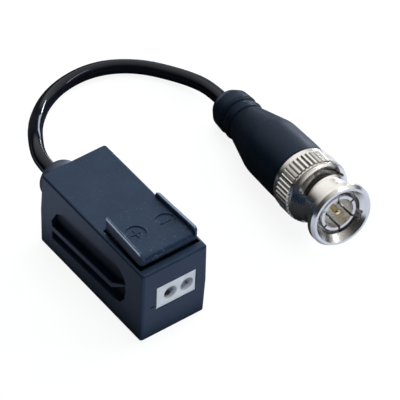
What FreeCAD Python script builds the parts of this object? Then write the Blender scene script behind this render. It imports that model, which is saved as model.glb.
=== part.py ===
import FreeCAD, Part
import math
import os
import Sketcher
from FreeCAD import Placement, Rotation, Vector

# Video balun: a two-part box with a push terminal, and a coaxial pigtail with a bayonet plug.
# The origin is the middle of the box's base. X is the width, +Y points to the cable end, +Z up.
# The plug's pieces are drawn along their own axis, which runs back from the plug's front.

SIZES = {
    # Box, outside
    "box_width": 16.4,
    "box_length": 35.5,
    "box_height": 18.75,
    "seam_height": 9.13,
    "upper_draft": 0.2,
    "lower_draft": 0.25,
    "corner_radius": 0.9,
    "top_edge_radius": 0.5,
    "base_edge_radius": 0.4,
    # Box, inside
    "side_wall": 2.0,
    "front_wall": 1.6,
    "back_wall": 1.8,
    "top_wall": 1.5,
    "floor_wall": 1.5,
    "tongue_depth": 1.8,
    "tongue_width": 3.0,
    "tongue_thick": 0.7,
    "tongue_front": -4.5,
    "tongue_rear": 9.0,
    "tongue_gap": 0.1,
    "tongue_root": 2.0,
    "ledge_width": 0.9,
    "ledge_ends": 1.6,
    "notch_x": -5.45,
    "notch_width": 0.9,
    "notch_height": 0.35,
    "notch_depth": 0.5,
    # Grip recesses
    "grip_depth": 1.4,
    "grip_back": 13.2,
    "grip_front": 12.2,
    "grip_top_front": 16.9,
    "grip_top_rear": 15.3,
    "grip_top_back": 12.2,
    "grip_bottom": 4.0,
    "rib_bottom_back": 6.4,
    "rib_bottom_front": 7.5,
    "rib_thick": 1.25,
    "rib_turn": 7.4,
    "rib_end_height": 11.6,
    "rib_end_thick": 0.5,
    "grip_run": 22.0,
    "grip_ledge": 1.5,
    "grip_bow": 0.25,
    "grip_corner": 1.3,
    "grip_shoulder": 4.5,
    "grip_shoulder_rise": 2.3,
    "grip_crown": 3.5,
    "grip_brow": 9.0,
    "grip_brow_drop": 1.4,
    "grip_cheek": 11.3,
    "grip_cheek_drop": 3.4,
    "grip_hinge": 10.0,
    "grip_lip": 0.35,
    "toe_hook": 0.2,
    "toe_drop": 1.2,
    "toe_back": 0.3,
    "toe_rise": 0.4,
    "heel_back": 1.8,
    "heel_rise": 1.7,
    "sole_front": 0.6,
    "sole_rise": 1.0,
    # Press button
    "button_start": 2.25,
    "button_length": 13.0,
    "button_inset_front": 1.05,
    "button_inset_rear": 1.5,
    "button_skirt": 18.6,
    "button_height": 3.7,
    "cap_height": 2.7,
    "rim_height": 1.0,
    "rim_width": 0.85,
    "rim_corner": 0.8,
    "rim_round": 0.35,
    "front_round": 1.35,
    "rim_nose": 1.0,
    "rim_nose_drop": 0.7,
    "foot_inset": 0.7,
    "foot_lap": 0.4,
    "button_roof": 1.1,
    "button_wall": 1.0,
    "button_travel": 2.0,
    "button_gap": 0.2,
    "travel_margin": 0.2,
    "mark_radius": 2.15,
    "mark_depth": 0.25,
    "mark_left": -3.4,
    "mark_right": 3.5,
    "mark_left_place": 9.05,
    "mark_right_place": 8.55,
    "plate_thick": 1.5,
    "plunger_width": 2.0,
    "plunger_depth": 2.0,
    "plunger_place": 4.45,
    "plunger_gap": 0.1,
    "leg_root": 0.2,
    "hook_width": 2.4,
    "hook_thick": 1.1,
    "hook_barb": 0.7,
    "hook_barb_height": 1.0,
    "hook_place": 11.45,
    "hook_spread": 4.0,
    "room_step": 1.2,
    # Terminal block
    "nose_left": -4.4,
    "nose_right": 5.2,
    "nose_bottom": 7.7,
    "nose_top": 13.6,
    "nose_inset": 0.15,
    "window_gap": 0.1,
    "block_overlap": 0.5,
    "block_gap_left": 1.2,
    "block_gap_right": 0.6,
    "block_top": 13.9,
    "block_depth": 8.8,
    "port_left": -1.02,
    "port_right": 3.08,
    "port_height": 10.55,
    "port_radius": 1.6,
    "port_wall": 1.0,
    "pin_inset": 0.85,
    "pin_slot": 1.1,
    "cell_width": 2.9,
    "cell_depth": 8.9,
    "cell_floor": 8.1,
    # Clamp springs and contacts
    "spring_width": 2.3,
    "spring_strip": 0.3,
    "spring_top": 13.2,
    "spring_bed_start": 3.1,
    "spring_heel": 1.0,
    "spring_back_gap": 0.5,
    "spring_bend": 0.6,
    "spring_crook": 0.9,
    "spring_top_end": 1.3,
    "spring_nose": 2.0,
    "spring_tip": 1.4,
    "spring_tip_drop": 0.7,
    "spring_jaw": 1.8,
    "spring_jaw_rise": 1.9,
    "spring_mouth": 2.8,
    "contact_strip": 0.5,
    "contact_end_gap": 0.2,
    "pin_reach": 0.8,
    "contact_width": 2.3,
    "pin_width": 0.8,
    "pin_hole_gap": 0.3,
    # Circuit board and what stands on it
    "board_side_gap": 0.3,
    "board_front_gap": 0.95,
    "board_back_gap": 2.95,
    "board_top": 5.6,
    "board_thick": 1.0,
    "core_outer": 4.3,
    "core_inner": 2.2,
    "core_height": 3.6,
    "core_lift": 0.9,
    "wire_thick": 0.4,
    "wire_gap": 0.03,
    "winding_turns": 7,
    "winding_angle": 150.0,
    "winding_first_angle": 15.0,
    "chip_length": 2.0,
    "chip_width": 1.25,
    "chip_height": 0.7,
    "chip_dip": 0.06,
    "chip_gap": 0.3,
    "chip_pitch": 2.6,
    "capacitor_x": -3.0,
    "resistor_x": 3.0,
    "suppressor_length": 4.2,
    "suppressor_width": 2.6,
    "suppressor_height": 2.1,
    "suppressor_x": -3.0,
    # Strain relief and cable
    "gland_height": 9.13,
    "gland_radius": 4.6,
    "gland_straight": 3.5,
    "gland_length": 7.0,
    "gland_dome_flat": 0.6,
    "gland_neck": 3.2,
    "gland_flange": 4.3,
    "gland_flange_thick": 1.2,
    "gland_gap": 0.1,
    "cable_radius": 1.6,
    "lead_radius": 0.55,
    "lead_x": 2.2,
    "lead_inset": 1.6,
    "lead_reach": 0.4,
    "lead_start": 0.5,
    "lead_spread": 0.9,
    "lead_run": 1.2,
    "lead_drop": 2.2,
    "lead_hole_gap": 0.1,
    "tail_run": 4.8,
    # Plug: place of its front and its direction
    "plug_x": 40.38,
    "plug_y": -20.88,
    "plug_z": 10.83,
    "plug_yaw": 5.95,
    "plug_pitch": 8.2,
    # Coupling nut
    "nut_lip": 0.15,
    "nut_bevel": 0.25,
    "flange_radius": 7.25,
    "flange_front": 0.95,
    "flange_back": 2.1,
    "sleeve_radius": 5.65,
    "sleeve_front": 2.9,
    "shoulder_front": 6.2,
    "shoulder_back": 9.2,
    "nut_round": 1.6,
    "nut_radius": 7.1,
    "groove_place": 9.75,
    "groove_width": 0.35,
    "knurl_front": 10.35,
    "knurl_back": 14.3,
    "knurl_height": 0.28,
    "knurl_flat": 0.4,
    "knurl_count": 45,
    "band_radius": 7.2,
    "nut_back": 15.8,
    "mouth_radius": 6.2,
    "bore_radius": 4.95,
    "mouth_depth": 1.5,
    "bore_back": 9.0,
    "slot_width": 2.1,
    "slot_reach": 6.35,
    "entry_reach": 5.45,
    "slot_depth": 7.8,
    "slot_angle": 59.8,
    "slot_turn_angle": -36.0,
    "ramp_start_angle": -26.0,
    "ramp_end_angle": 75.0,
    "ramp_front": 6.3,
    "ramp_rise": 0.9,
    "ramp_seat_gap": 0.1,
    # Plug body
    "finger_radius": 4.1,
    "finger_bulge": 0.22,
    "finger_bore": 3.45,
    "finger_front": 1.6,
    "finger_lead_in": 0.4,
    "bulge_end": 1.2,
    "bulge_fade": 2.0,
    "slit_width": 0.5,
    "slit_depth": 5.2,
    "body_flange": 5.85,
    "body_flange_front": 9.2,
    "body_flange_thick": 1.0,
    "barrel_radius": 4.75,
    "barrel_back": 21.0,
    "spigot_radius": 2.5,
    "spigot_bore": 1.7,
    "spigot_back": 28.0,
    "seat_gap": 0.02,
    "turn_gap": 0.15,
    "dish_gap": 0.05,
    "insulator_front": 6.8,
    "insulator_back": 14.0,
    "pin_radius": 0.68,
    "pin_shank": 0.95,
    "pin_round": 0.5,
    "pin_front": 1.7,
    "pin_back": 15.5,
    "gasket_thick": 0.8,
    "washer_strip": 0.25,
    "washer_dish": 0.55,
    "ring_thick": 0.55,
    "nut_cavity": 6.1,
    "ring_groove": 6.4,
    "braid_thick": 0.3,
    "ferrule_wall": 0.5,
    "ferrule_gap": 0.1,
    "ferrule_length": 7.4,
    # Boot
    "boot_front": 15.95,
    "boot_radius": 7.0,
    "boot_lip": 0.15,
    "boot_lip_length": 0.5,
    "boot_straight": 4.5,
    "boot_shoulder": 28.1,
    "boot_shoulder_radius": 6.83,
    "shoulder_round": 10.0,
    "boot_neck": 37.1,
    "boot_neck_radius": 4.6,
    "tail_ring_radius": 4.77,
    "tail_ring_place": 39.1,
    "tail_groove_radius": 4.45,
    "tail_groove_width": 0.5,
    "tail_groove_front": 1.6,
    "tail_groove_back": 1.4,
    "tail_ring_rise": 1.0,
    "tail_taper": 0.2,
    "tail_tip_width": 1.4,
    "tail_tip_length": 1.2,
    "tail_end": 47.0,
    "tail_round_start": 44.2,
    "tail_end_radius": 2.3,
}

doc = FreeCAD.newDocument("video_balun")
sheet = doc.addObject("Spreadsheet::Sheet", "Sizes")
for row, (alias, number) in enumerate(SIZES.items(), start=1):
    sheet.set(f"A{row}", alias.replace("_", " "))
    sheet.set(f"B{row}", str(number))
    sheet.setAlias(f"B{row}", alias)
doc.recompute()


def size(alias):
    """The number that the sheet holds for a size."""
    return float(getattr(sheet, alias))


def worked(expression):
    """The number that an expression on the sheet gives."""
    result = sheet.evalExpression(expression)
    return float(getattr(result, "Value", result))


# Building blocks


def bind(item, **expressions):
    """Tie an object's properties to expressions; base_x, base_y and base_z are its place."""
    for name, expression in expressions.items():
        path = f".Placement.Base.{name[-1]}" if name.startswith("base_") else name
        item.setExpression(path, expression)
    return item


def cell(expression):
    """Write the sheet's name before each size in an expression."""
    words = []
    word = ""
    for mark in expression + " ":
        if mark.isalnum() or mark == "_":
            word += mark
            continue
        words.append(f"Sizes.{word}" if word in SIZES else word)
        words.append(mark)
        word = ""
    return "".join(words).strip()


def block(name, low, high):
    """A Part box from its low to its high corner, each three expressions."""
    item = doc.addObject("Part::Box", name)
    sides = [f"({top}) - ({bottom})" for bottom, top in zip(low, high)]
    return bind(
        item,
        Length=cell(sides[0]),
        Width=cell(sides[1]),
        Height=cell(sides[2]),
        base_x=cell(low[0]),
        base_y=cell(low[1]),
        base_z=cell(low[2]),
    )


def rod(name, radius, start, length, axis=Vector(0, 0, 1)):
    """A Part cylinder from a start point along an axis."""
    item = doc.addObject("Part::Cylinder", name)
    item.Placement = Placement(Vector(), Rotation(Vector(0, 0, 1), axis))
    return bind(
        item,
        Radius=cell(radius),
        Height=cell(length),
        base_x=cell(start[0]),
        base_y=cell(start[1]),
        base_z=cell(start[2]),
    )


def join(name, *pieces):
    item = doc.addObject("Part::MultiFuse", name)
    item.Shapes = list(pieces)
    item.Refine = True
    return item


def cut(name, base, *tools):
    item = doc.addObject("Part::Cut", name)
    item.Base = base
    item.Tool = tools[0] if len(tools) == 1 else join(name + "_tools", *tools)
    item.Refine = True
    return item


def overlap(name, *pieces):
    item = doc.addObject("Part::MultiCommon", name)
    item.Shapes = list(pieces)
    return item


def mirror(name, source):
    """The copy of a solid on the other side of the YZ plane."""
    item = doc.addObject("Part::Mirroring", name)
    item.Source = source
    item.Normal = Vector(1, 0, 0)
    return item


def body(name):
    return doc.addObject("PartDesign::Body", name)


def sketch(owner, name, role, height="0"):
    """An empty sketch on one of the body's own planes, moved along the plane's normal."""
    item = owner.newObject("Sketcher::SketchObject", name)
    plane = next(flat for flat in owner.Origin.OriginFeatures if flat.Role == role)
    item.AttachmentSupport = (plane, [""])
    item.MapMode = "FlatFace"
    item.setExpression(".AttachmentOffset.Base.z", cell(height))
    return item


def loop(drawing, corners):
    """A closed line through corners, each corner tied to the origin by two sizes."""
    places = [Vector(worked(cell(x)), worked(cell(y)), 0) for x, y in corners]
    first = drawing.GeometryCount
    count = len(places)
    for index, place in enumerate(places):
        drawing.addGeometry(Part.LineSegment(place, places[(index + 1) % count]))
    for index in range(count):
        following = first + (index + 1) % count
        drawing.addConstraint(Sketcher.Constraint("Coincident", first + index, 2, following, 1))
    for index, (place, corner) in enumerate(zip(places, corners)):
        for axis, kind, number in ((-2, "DistanceX", place.x), (-1, "DistanceY", place.y)):
            expression = corner[0] if kind == "DistanceX" else corner[1]
            if expression == "0":
                drawing.addConstraint(
                    Sketcher.Constraint("PointOnObject", first + index, 1, axis)
                )
                continue
            rule = Sketcher.Constraint(kind, -1, 1, first + index, 1, number)
            place_in_list = drawing.addConstraint(rule)
            drawing.setExpression(f"Constraints[{place_in_list}]", cell(expression))
    return drawing


def rectangle(drawing, half_x, half_y):
    corners = [
        (f"-({half_x})", f"-({half_y})"),
        (f"{half_x}", f"-({half_y})"),
        (f"{half_x}", f"{half_y}"),
        (f"-({half_x})", f"{half_y}"),
    ]
    return loop(drawing, corners)


def round_edges(owner, name, wanted, radius):
    """Fillet the edges of the body so far that a test picks out."""
    doc.recompute()
    tip = owner.Tip
    names = [f"Edge{n}" for n, edge in enumerate(tip.Shape.Edges, start=1) if wanted(edge)]
    if not names:
        raise ValueError(f"{name}: no edge found")
    item = owner.newObject("PartDesign::Fillet", name)
    item.Base = (tip, names)
    item.setExpression("Radius", cell(radius))
    return item


def turned(name, corners):
    """A body turned about its Z axis; each corner is a radius and a place along the axis."""
    owner = body(name)
    profile = loop(sketch(owner, name + "_profile", "XZ_Plane"), corners)
    item = owner.newObject("PartDesign::Revolution", name + "_turned")
    item.Profile = profile
    item.ReferenceAxis = (profile, ["V_Axis"])
    item.Angle = 360.0
    profile.Visibility = False
    return owner


def part_feature(name, shape):
    item = doc.addObject("Part::Feature", name)
    item.Shape = shape
    return item


def is_upright(edge):
    ends = [vertex.Point for vertex in edge.Vertexes]
    return len(ends) == 2 and abs(ends[0].z - ends[1].z) > 0.7 * edge.Length


def is_level_at(height):
    """Edges or faces that lie flat at a height."""

    def test(item):
        box = item.BoundBox
        return box.ZMax - box.ZMin < 0.001 and abs(box.ZMin - height) < 0.001

    return test


def is_ring_at(radius, place):
    """Edges that circle the Z axis with a radius at a place along it."""

    def test(edge):
        curve = edge.Curve
        if not isinstance(curve, Part.Circle):
            return False
        return abs(curve.Radius - radius) < 0.001 and abs(curve.Center.z - place) < 0.001

    return test


FRONT = "-box_length / 2"
BACK = "box_length / 2"
INNER_HALF = "box_width / 2 - side_wall"
FRONT_INNER = f"{FRONT} + front_wall"
BACK_INNER = f"{BACK} - back_wall"
BUTTON_FRONT = f"{FRONT} + button_start"
BUTTON_REAR = f"{BUTTON_FRONT} + button_length"
BUTTON_TOP = "button_skirt + button_height"
CAP_EDGE = f"{BUTTON_TOP} - cap_height"
PLUNGER_FRONT = f"{FRONT} + plunger_place"
HOOK_FRONT = f"{FRONT} + hook_place"
NOSE_FRONT = f"{FRONT} + nose_inset"
CELL_FRONT = f"{NOSE_FRONT} + port_wall"
BLOCK_FRONT = f"{FRONT_INNER} + window_gap"
BLOCK_REAR = f"{BLOCK_FRONT} + block_depth"
PIN_PLACE = f"{CELL_FRONT} + cell_depth - pin_inset"
BOARD_HALF = f"{INNER_HALF} - board_side_gap"
BOARD_BACK = f"{BACK_INNER} - board_back_gap"
LEAD_PLACE = f"{BOARD_BACK} - lead_inset"
CHIP_FRONT = f"{BLOCK_REAR} + chip_gap"
CHIP_REAR = f"{CHIP_FRONT} + chip_width"
CORE_REACH = "core_outer + wire_gap + wire_thick"

finished = {}


def finish(name, item, placement=None):
    """Name an object as a sub-part of the balun."""
    item.Label = name
    if placement is not None:
        item.Placement = placement
    finished[name] = item
    return item


# Grip recesses: a shallow hollow on each side, with a rib along its deepest line


def grip_cutters():
    """The hollows above and below the rib, on the left side and mirrored to the right."""
    holder = body("grip_outlines")
    rib_top_back = "rib_bottom_back + rib_thick"
    rib_top_front = "rib_bottom_front + rib_thick"
    rib_end_top = "rib_end_height + rib_end_thick"
    above = [
        ("grip_back", rib_top_back),
        ("grip_back + grip_bow", f"{rib_top_back} + grip_corner"),
        ("grip_back - grip_corner", "grip_top_back"),
        ("grip_back - grip_shoulder", "grip_top_back + grip_shoulder_rise"),
        ("grip_crown", "box_height + 1"),
        ("-grip_crown", "box_height + 1"),
        ("-grip_brow", "grip_top_front - grip_brow_drop"),
        ("-grip_cheek", "grip_top_front - grip_cheek_drop"),
        ("-grip_front", rib_end_top),
        ("-rib_turn", rib_top_front),
    ]
    below = [
        ("grip_back", "grip_bottom"),
        ("grip_back", "rib_bottom_back"),
        ("-rib_turn", "rib_bottom_front"),
        ("-grip_front + toe_hook", "rib_end_height"),
        ("-grip_front", "rib_end_height - toe_drop"),
        ("-grip_front + toe_back", "rib_bottom_front + toe_rise"),
        ("-grip_front + heel_back", "grip_bottom + heel_rise"),
        ("-rib_turn - sole_front", "grip_bottom + sole_rise"),
    ]
    rise = math.atan2(size("grip_top_front") - size("grip_top_rear"), size("grip_run"))
    deepest = size("grip_top_front") - size("rib_bottom_front") - size("rib_thick")
    slope_above = math.atan2(size("grip_depth"), deepest)
    slope_below = math.atan2(size("grip_depth"), size("grip_ledge"))
    side = size("box_width") / 2
    upper_hinge = Vector(-side, -size("grip_hinge"), size("grip_top_front"))
    lower_hinge = Vector(-side, 0.0, size("grip_bottom") + size("grip_lip"))
    lean = math.atan2(size("sole_rise"), size("grip_run"))
    tilts = {
        "above": (above, upper_hinge, -slope_above, rise),
        "below": (below, lower_hinge, slope_below, lean),
    }
    cutters = []
    reach = 2 * size("box_length")
    for name, (outline, hinge, slope, lean) in tilts.items():
        drawing = loop(sketch(holder, f"grip_{name}_outline", "YZ_Plane"), outline)
        prism = doc.addObject("Part::Extrusion", f"grip_{name}_prism")
        prism.Base = drawing
        prism.Dir = Vector(1, 0, 0)
        prism.Solid = True
        prism.setExpression("LengthFwd", cell("grip_depth + 2"))
        prism.setExpression(".Placement.Base.x", cell("-box_width / 2 - 2"))
        beyond = doc.addObject("Part::Box", f"grip_{name}_side")
        beyond.Length = beyond.Width = beyond.Height = reach
        turn = Rotation(Vector(1, 0, 0), -math.degrees(lean))
        turn = turn.multiply(Rotation(Vector(0, 1, 0), math.degrees(slope)))
        beyond.Placement = Placement(hinge, turn).multiply(
            Placement(Vector(-reach, -reach / 2, -reach / 2), Rotation())
        )
        left = overlap(f"grip_{name}_left", prism, beyond)
        cutters += [left, mirror(f"grip_{name}_right", left)]
    return cutters


# Box


def plunger_places():
    return {"left": "port_left", "right": "port_right"}


def shell_blank(name, far_height, draft, edge_radius):
    """Half of the box as a solid: a rounded pad from the seam, with draft and a rounded far edge."""
    owner = body(name)
    upward = worked(cell(far_height)) > size("seam_height")
    tall = f"abs({far_height} - seam_height)"
    outline = sketch(owner, name + "_outline", "XY_Plane", "seam_height")
    pad = owner.newObject("PartDesign::Pad", name + "_pad")
    pad.Profile = rectangle(outline, "box_width / 2", "box_length / 2")
    pad.setExpression("Length", cell(tall))
    pad.Reversed = not upward
    round_edges(owner, name + "_corners", is_upright, "corner_radius")
    doc.recompute()
    tip = owner.Tip
    seam = is_level_at(size("seam_height"))
    faces = list(enumerate(tip.Shape.Faces, start=1))
    sides = [f"Face{n}" for n, face in faces if face.BoundBox.ZLength > 0.001]
    drafted = owner.newObject("PartDesign::Draft", name + "_draft")
    drafted.Base = (tip, sides)
    drafted.NeutralPlane = (tip, [f"Face{n}" for n, face in faces if seam(face)])
    drafted.setExpression("Angle", cell(f"atan({draft} / {tall})"))
    drafted.Reversed = not upward
    level = is_level_at(worked(cell(far_height)))
    round_edges(owner, name + "_edges", level, edge_radius)
    return owner


def terminal_window():
    return block(
        "terminal_window",
        ("nose_left - window_gap", f"{FRONT} - 1", "nose_bottom - window_gap"),
        ("nose_right + window_gap", f"{FRONT_INNER} + 1", "nose_top + window_gap"),
    )


def gland_bore():
    return rod(
        "gland_bore",
        "gland_neck + gland_gap",
        ("0", f"{BACK_INNER} - 1", "gland_height"),
        "back_wall + 3",
        Vector(0, 1, 0),
    )


def button_outline(name, owner, height, side_gap, end_gap):
    """The button's plan with gaps round it: a little wider at the front than at the rear."""
    rear = f"{BUTTON_REAR} + {end_gap}"
    front = f"{BUTTON_FRONT} - ({end_gap})"
    front_half = f"box_width / 2 - button_inset_front + {side_gap}"
    rear_half = f"box_width / 2 - button_inset_rear + {side_gap}"
    corners = [
        (f"-({front_half})", front),
        (front_half, front),
        (rear_half, rear),
        (f"-({rear_half})", rear),
    ]
    return loop(sketch(owner, name, "XY_Plane", height), corners)


def button_pad(name, low, high, gap):
    owner = body(name)
    outline = button_outline(name + "_outline", owner, low, gap, gap)
    pad = owner.newObject("PartDesign::Pad", name + "_pad")
    pad.Profile = outline
    pad.setExpression("Length", cell(f"({high}) - ({low})"))
    return owner


POCKET_FLOOR = "button_skirt - button_travel - travel_margin"
PLATE_BOTTOM = f"{POCKET_FLOOR} - plate_thick"
HOOK_TOP = f"{PLATE_BOTTOM} - button_gap"


def upper_shell(cutters, window, bore):
    blank = shell_blank("upper_blank", "box_height", "upper_draft", "top_edge_radius")
    rear_start = f"{BUTTON_REAR} + room_step"
    front_room = block(
        "upper_front_room",
        (f"-({INNER_HALF})", FRONT_INNER, "seam_height - 1"),
        (INNER_HALF, f"{rear_start} + 0.01", PLATE_BOTTOM),
    )
    rear_room = block(
        "upper_rear_room",
        (f"-({INNER_HALF})", rear_start, "seam_height - 1"),
        (INNER_HALF, BACK_INNER, "box_height - top_wall"),
    )
    pocket = button_pad("button_pocket", POCKET_FLOOR, "box_height + 1", "button_gap")
    slots = []
    for side, place in plunger_places().items():
        slots.append(
            block(
                f"plunger_slot_{side}",
                (
                    f"{place} - plunger_width / 2 - button_gap",
                    f"{PLUNGER_FRONT} - button_gap",
                    f"{PLATE_BOTTOM} - 1",
                ),
                (
                    f"{place} + plunger_width / 2 + button_gap",
                    f"{PLUNGER_FRONT} + plunger_depth + button_gap",
                    f"{POCKET_FLOOR} + 1",
                ),
            )
        )
    for side, sign in (("left", "-"), ("right", "")):
        middle = f"{sign}hook_spread"
        slots.append(
            block(
                f"hook_slot_{side}",
                (
                    f"{middle} - hook_width / 2 - button_gap",
                    f"{HOOK_FRONT} - button_gap",
                    f"{PLATE_BOTTOM} - 1",
                ),
                (
                    f"{middle} + hook_width / 2 + button_gap",
                    f"{HOOK_FRONT} + hook_thick + button_gap",
                    f"{POCKET_FLOOR} + 1",
                ),
            )
        )
    hollowed = cut("upper_hollowed", blank, front_room, rear_room, pocket, window, bore, *slots)
    tongues = []
    for side, sign in (("left", "-1"), ("right", "1")):
        outer = f"{sign} * ({INNER_HALF} - tongue_gap)"
        inner = f"{sign} * ({INNER_HALF} - tongue_gap - tongue_thick)"
        wall = f"{sign} * ({INNER_HALF} + tongue_gap)"
        for end in ("front", "rear"):
            front = f"tongue_{end} - tongue_width / 2"
            rear = f"tongue_{end} + tongue_width / 2"
            reaches = (
                ("tongue", outer, "seam_height - tongue_depth"),
                ("tongue_root", wall, "seam_height"),
            )
            for name, reach, low in reaches:
                left, right = (reach, inner) if side == "left" else (inner, reach)
                tongues.append(
                    block(
                        f"{name}_{side}_{end}",
                        (left, front, low),
                        (right, rear, "seam_height + tongue_root"),
                    )
                )
    whole = join("upper_whole", hollowed, *tongues)
    finish("upper_shell", cut("upper_shell", whole, *cutters))


def lower_shell(cutters, window, bore):
    blank = shell_blank("lower_blank", "0", "lower_draft", "base_edge_radius")
    ledge = f"{BOARD_HALF} - ledge_width"
    board_bottom = "board_top - board_thick"
    room = block(
        "lower_room",
        (f"-({INNER_HALF})", FRONT_INNER, board_bottom),
        (INNER_HALF, BACK_INNER, "seam_height + 1"),
    )
    below = block(
        "lower_well",
        (f"-({ledge})", f"{FRONT_INNER} + ledge_ends", "floor_wall"),
        (ledge, f"{BACK_INNER} - ledge_ends", f"{board_bottom} + 1"),
    )
    notch = block(
        "seam_notch",
        ("notch_x - notch_width / 2", f"{FRONT} - 1", "seam_height - notch_height"),
        ("notch_x + notch_width / 2", f"{FRONT} + notch_depth", "seam_height + 1"),
    )
    finish("lower_shell", cut("lower_shell", blank, room, below, notch, window, bore, *cutters))


# Press button


def button_nose():
    """What is cut from the front ends of the button's rims, so that they slope down."""
    holder = body("button_nose_outline")
    corners = [
        (f"{BUTTON_FRONT} + 2 * rim_nose", f"{BUTTON_TOP} + rim_nose_drop"),
        (f"{BUTTON_FRONT} - rim_nose", f"{BUTTON_TOP} + rim_nose_drop"),
        (f"{BUTTON_FRONT} - rim_nose", f"{BUTTON_TOP} - 2 * rim_nose_drop"),
    ]
    prism = doc.addObject("Part::Extrusion", "button_nose")
    prism.Base = loop(sketch(holder, "button_nose_line", "YZ_Plane"), corners)
    prism.Dir = Vector(1, 0, 0)
    prism.Solid = True
    prism.setExpression("LengthFwd", cell("box_width"))
    prism.setExpression(".Placement.Base.x", cell("-box_width / 2"))
    return prism


def press_button():
    """A tray between two rims, on a narrower foot, with plungers and hooks below."""
    name = "button_cap"
    cap = button_pad(name, CAP_EDGE, BUTTON_TOP, "0")
    round_edges(cap, name + "_corners", is_upright, "rim_corner")
    cradle = cap.newObject("PartDesign::Pocket", name + "_cradle")
    cradle.Profile = button_outline(name + "_floor", cap, BUTTON_TOP, "-rim_width", "1")
    cradle.setExpression("Length", "Sizes.rim_height")
    floor = is_level_at(worked(cell(f"{BUTTON_TOP} - rim_height")))
    front = worked(cell(BUTTON_FRONT)) + 0.01

    def is_floor_front(edge):
        return floor(edge) and edge.BoundBox.YMax < front

    round_edges(cap, name + "_front", is_floor_front, "front_round")
    top = is_level_at(worked(cell(BUTTON_TOP)))
    rim_middle = worked(cell("(box_width - rim_width) / 2 - button_inset_front"))

    def is_rim_edge(edge):
        box = edge.BoundBox
        long = box.YLength > size("button_length") / 2
        return top(edge) and long and max(box.XMax, -box.XMin) < rim_middle

    round_edges(cap, name + "_rims", is_rim_edge, "rim_round")
    foot = button_pad("button_foot", "button_skirt", f"{CAP_EDGE} + foot_lap", "-foot_inset")
    round_edges(foot, "button_foot_corners", is_upright, "rim_corner")
    roof = f"{BUTTON_TOP} - rim_height - button_roof"
    hollow_half = "box_width / 2 - button_inset_rear - foot_inset - button_wall"
    hollow = block(
        "button_hollow",
        (f"-({hollow_half})", f"{BUTTON_FRONT} + foot_inset + button_wall", "button_skirt - 1"),
        (hollow_half, f"{BUTTON_REAR} - foot_inset - button_wall", roof),
    )
    marks = []
    for side in ("left", "right"):
        place = (f"mark_{side}", f"{FRONT} + mark_{side}_place", f"{roof} + button_roof - mark_depth")
        marks.append(rod(f"mark_{side}_disc", "mark_radius", place, "mark_depth + 1"))
    solid = join("button_solid", cap, foot)
    shaped = cut("button_shaped", solid, hollow, button_nose(), *marks)
    legs = []
    root = f"{roof} + leg_root"
    for side, place in plunger_places().items():
        legs.append(
            block(
                f"plunger_{side}",
                (f"{place} - plunger_width / 2", PLUNGER_FRONT, "spring_top + plunger_gap"),
                (f"{place} + plunger_width / 2", f"{PLUNGER_FRONT} + plunger_depth", root),
            )
        )
    for side, sign in (("left", "-"), ("right", "")):
        left = f"{sign}hook_spread - hook_width / 2"
        right = f"{sign}hook_spread + hook_width / 2"
        tip = f"{HOOK_TOP} - hook_barb_height"
        rear = f"{HOOK_FRONT} + hook_thick"
        legs.append(block(f"hook_leg_{side}", (left, HOOK_FRONT, tip), (right, rear, root)))
        legs.append(
            block(
                f"hook_barb_{side}",
                (left, f"{rear} - 0.01", tip),
                (right, f"{rear} + hook_barb", HOOK_TOP),
            )
        )
    finish("press_button", join("press_button", shaped, *legs))


# Terminal block with its clamp springs and contacts


def terminal_block():
    nose = block(
        "terminal_nose",
        ("nose_left", NOSE_FRONT, "nose_bottom"),
        ("nose_right", f"{BLOCK_FRONT} + block_overlap", "nose_top"),
    )
    base = block(
        "terminal_base",
        (f"-({INNER_HALF} - block_gap_left)", BLOCK_FRONT, "board_top"),
        (f"{INNER_HALF} - block_gap_right", BLOCK_REAR, "block_top"),
    )
    whole = join("terminal_whole", nose, base)
    rooms = []
    for side, place in plunger_places().items():
        rooms.append(
            rod(
                f"port_bore_{side}",
                "port_radius",
                (place, f"{NOSE_FRONT} - 1", "port_height"),
                "port_wall + 1.5",
                Vector(0, 1, 0),
            )
        )
        rooms.append(
            block(
                f"spring_cell_{side}",
                (f"{place} - cell_width / 2", CELL_FRONT, "cell_floor"),
                (f"{place} + cell_width / 2", f"{CELL_FRONT} + cell_depth", "block_top + 1"),
            )
        )
        rooms.append(
            block(
                f"pin_slot_{side}",
                (
                    f"{place} - pin_width / 2 - window_gap",
                    f"{PIN_PLACE} - pin_slot / 2",
                    "board_top - 1",
                ),
                (
                    f"{place} + pin_width / 2 + window_gap",
                    f"{PIN_PLACE} + pin_slot / 2",
                    "cell_floor + 1",
                ),
            )
        )
    finish("terminal_block", cut("terminal_block", whole, *rooms))


def bent_strip(name, points, thick, width, middle):
    """A strip of spring or sheet metal bent through points in a YZ plane, and its width in X."""
    line = Part.makePolygon([Vector(middle - width / 2, y, z) for y, z in points])
    side = line.makeOffset2D(thick / 2, join=0, fill=False, openResult=False)
    return part_feature(name, Part.Face(side).extrude(Vector(width, 0, 0)))


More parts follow.
